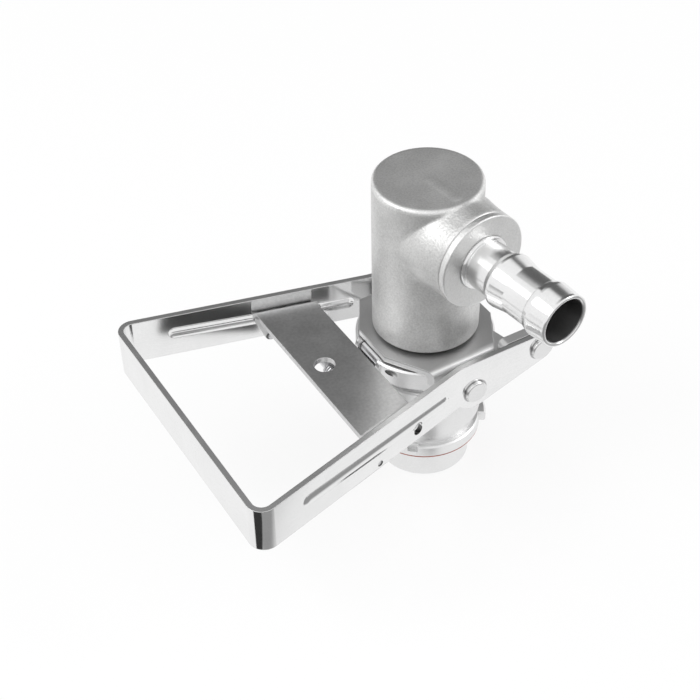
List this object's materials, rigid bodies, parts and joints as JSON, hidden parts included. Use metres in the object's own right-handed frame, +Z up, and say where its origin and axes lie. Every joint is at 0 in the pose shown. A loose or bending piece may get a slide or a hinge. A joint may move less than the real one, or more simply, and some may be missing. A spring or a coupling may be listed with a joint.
{
  "type": "diesel exhaust fluid coupler",
  "caption": "Stainless keg-style coupler with a long looped lever handle, a swivelling vertical probe head with a side hose barb, and a bayonet spigot below.",
  "frame": {"origin": "on the probe's axis at the lower end face of the spigot", "axes": "+Z up along the probe, -X along the lever handle towards its bail, -Y on the side of the hose tail"},
  "size_m": [0.1675, 0.1525, 0.156],
  "materials": {
    "polished_steel": "polished",
    "blasted_steel": "bead blasted",
    "turned_steel": "turned",
    "sheet_steel": "satin",
    "spring_steel": "satin",
    "red_rubber": "matte",
    "black_rubber": "matte",
    "dark_plastic": "matte"
  },
  "bodies": {
    "body": {"coupler_body": "turned_steel", "face_seal": "red_rubber", "guide_bush": "dark_plastic", "guide_seal": "black_rubber", "catch_pin": "turned_steel", "catch_sleeve": "turned_steel"},
    "yoke": {"yoke_plate": "sheet_steel", "swivel_bush": "dark_plastic"},
    "head": {"head_casting": "blasted_steel", "tail_flange": "blasted_steel", "hose_tail": "turned_steel", "tail_gasket": "black_rubber", "thrust_washer": "dark_plastic", "retaining_nut": "turned_steel", "probe_tube": "turned_steel", "neck_ring": "black_rubber", "piston_ring": "black_rubber", "nose_seal": "black_rubber"},
    "lever": {"handle": "polished_steel", "drive_pins": "turned_steel", "drive_spacers": "dark_plastic", "fulcrum_pins": "turned_steel", "fulcrum_clips": "spring_steel", "latch_pivot_pins": "turned_steel", "latch_rod": "turned_steel"},
    "latch": {"latch_plate": "sheet_steel", "latch_guide_pins": "turned_steel", "latch_spring": "spring_steel"}
  },
  "joints": [
    {"name": "yoke_rise", "type": "slide", "parent": "body", "child": "yoke", "axis": [0, 0, 1], "range_m": [0, 0.01686]},
    {"name": "head_swivel", "type": "hinge", "parent": "yoke", "child": "head", "pos_m": [0, 0, 0.0792], "axis": [0, 0, 1], "continuous": true},
    {"name": "handle_lift", "type": "hinge", "parent": "yoke", "child": "lever", "pos_m": [0.0014, 0, 0.0645], "axis": [0, 1, 0], "range_deg": [0, 27]},
    {"name": "latch_press", "type": "hinge", "parent": "lever", "child": "latch", "pos_m": [-0.0556, 0, 0.0609], "axis": [0, 1, 0], "range_deg": [0, 8], "stiffness_Nm_per_rad": 0.3, "springref_deg": -11.46}
  ],
  "couplings": [
    {"joint": "yoke_rise", "follows": "handle_lift", "m_per_rad": 0.03576}
  ]
}
